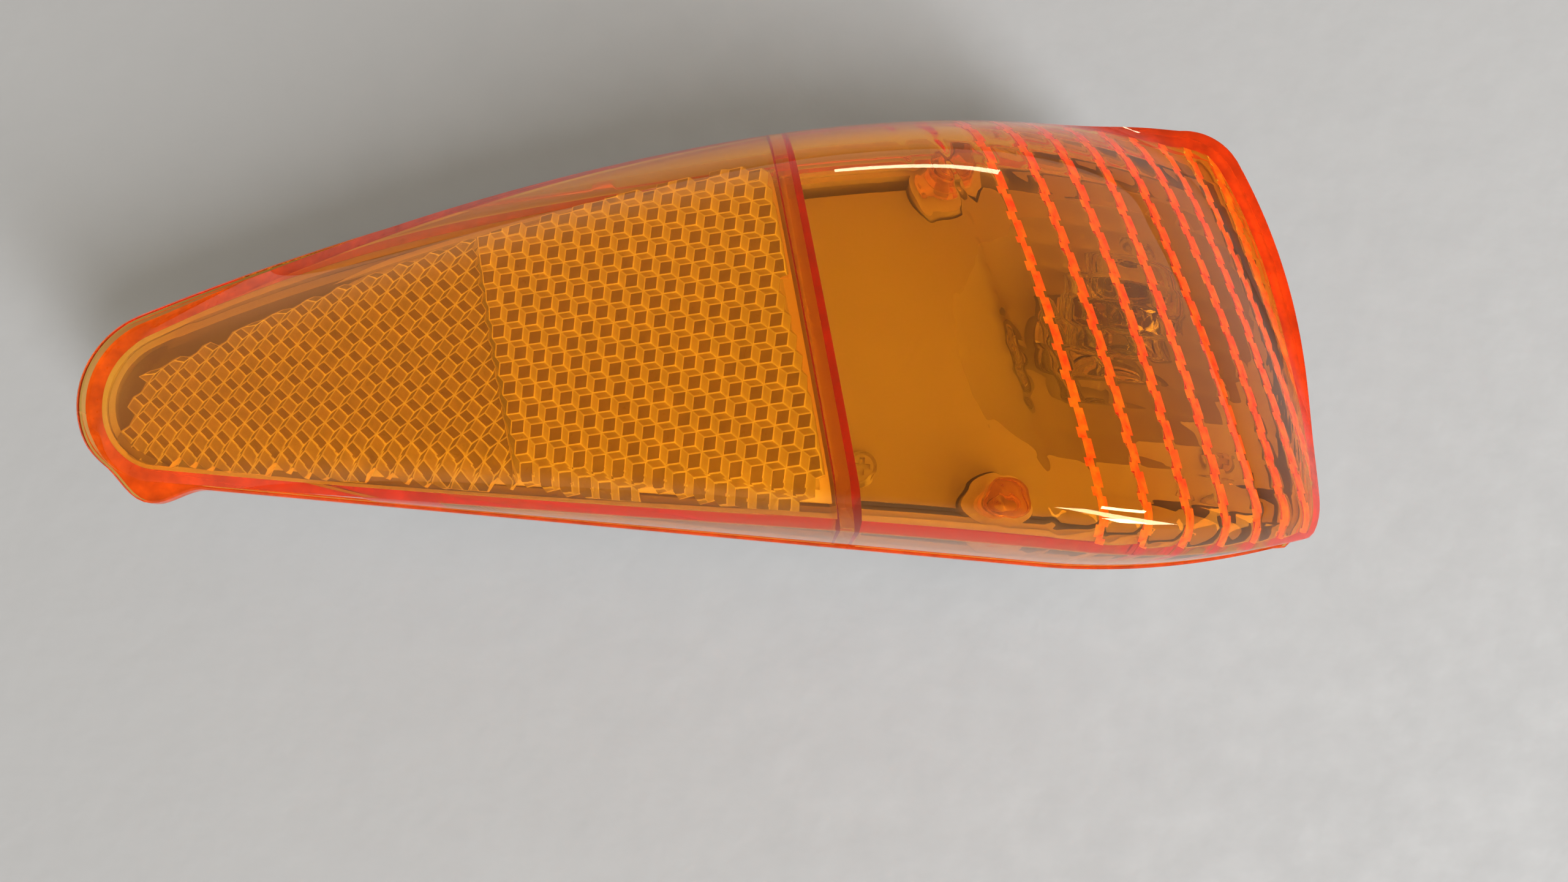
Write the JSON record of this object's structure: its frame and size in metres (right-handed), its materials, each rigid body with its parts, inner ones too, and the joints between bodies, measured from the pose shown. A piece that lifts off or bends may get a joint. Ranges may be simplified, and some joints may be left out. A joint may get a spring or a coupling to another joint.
{
  "type": "turn signal indicator",
  "caption": "Motorcycle turn signal lamp with a long tapered amber lens, reflex panel, quarter-turn bulb holder, bayonet bulb and pigtail plug.",
  "frame": {"origin": "middle of the lamp's plan, in the plane of the three mounting posts' end faces", "axes": "+X along the lamp from its nose to its wide end, +Y across it towards the rolled upper edge, +Z out of the lens"},
  "size_m": [0.1976, 0.0748, 0.0714],
  "materials": {
    "amber_lens": "clear amber PMMA, polished outside, moulded optics inside",
    "amber_prism": "clear amber PMMA with corner-cube prisms",
    "plate_plastic": "matt light tan plastic",
    "housing_plastic": "fine-textured warm grey ABS",
    "liner_plastic": "matt warm grey plastic",
    "gasket_silicone": "pale silicone",
    "seal_rubber": "soft black EPDM",
    "screw_steel": "zinc-plated steel",
    "insert_brass": "turned brass",
    "holder_plastic": "light grey glass-filled nylon",
    "socket_steel": "drawn and plated steel",
    "carrier_plastic": "brown phenolic",
    "contact_brass": "stamped brass",
    "spring_steel": "spring steel wire",
    "wire_live": "orange PVC insulation",
    "wire_ground": "green PVC insulation",
    "sleeve_pvc": "black PVC sleeve",
    "plug_nylon": "natural white nylon",
    "bulb_clear": "clear soda glass",
    "cap_nickel": "nickel-plated brass",
    "insulator_glass": "black vitrite glass",
    "contact_solder": "tin solder",
    "filament_tungsten": "tungsten wire"
  },
  "bodies": {
    "lamp_base": {"housing": "housing_plastic", "lens_gasket": "gasket_silicone", "bulb_reflector": "liner_plastic", "reflector_screws": "screw_steel", "mount_inserts": "insert_brass", "vent_cap": "seal_rubber"},
    "lens_unit": {"outer_lens": "amber_lens", "reflex_reflector": "amber_prism", "reflex_back_plate": "plate_plastic"},
    "screws": {"lens_screws": "screw_steel", "lens_screw_washers": "seal_rubber"},
    "holder": {"bulb_holder": "holder_plastic", "holder_seal": "seal_rubber", "socket_shell": "socket_steel", "contact_spring": "spring_steel", "live_terminal": "contact_brass", "ground_terminal": "contact_brass", "live_wire": "wire_live", "ground_wire": "wire_ground", "wire_sleeve": "sleeve_pvc", "wire_boot": "seal_rubber", "plug_shell": "plug_nylon", "plug_terminals": "contact_brass"},
    "contact": {"contact_carrier": "carrier_plastic", "contact_plunger": "contact_brass"},
    "bulb": {"bulb_cap": "cap_nickel", "bulb_glass": "bulb_clear", "bulb_pins": "cap_nickel", "bulb_insulator": "insulator_glass", "bulb_contact": "contact_solder", "bulb_stem": "bulb_clear", "bulb_support_wires": "filament_tungsten", "bulb_filament": "filament_tungsten"}
  },
  "joints": [
    {"name": "lens_removal", "type": "slide", "parent": "lamp_base", "child": "lens_unit", "axis": [0, 0, 1], "range_m": [0, 0.075]},
    {"name": "lens_screws_out", "type": "slide", "parent": "lamp_base", "child": "screws", "axis": [0, 0, -1], "range_m": [0, 0.045]},
    {"name": "holder_turn", "type": "hinge", "parent": "lamp_base", "child": "holder", "pos_m": [0.064, 0.004, 0.014], "axis": [0, 0, 1], "range_deg": [0, 28]},
    {"name": "contact_press", "type": "slide", "parent": "holder", "child": "contact", "axis": [0, 0, -1], "range_m": [0, 0.002], "stiffness_N_per_m": 1500, "springref_m": -0.004, "deforming": ["contact_spring"]},
    {"name": "bulb_turn", "type": "hinge", "parent": "contact", "child": "bulb", "pos_m": [0.064, 0.004, 0.0245], "axis": [0, 0, 1], "range_deg": [0, 20]}
  ]
}
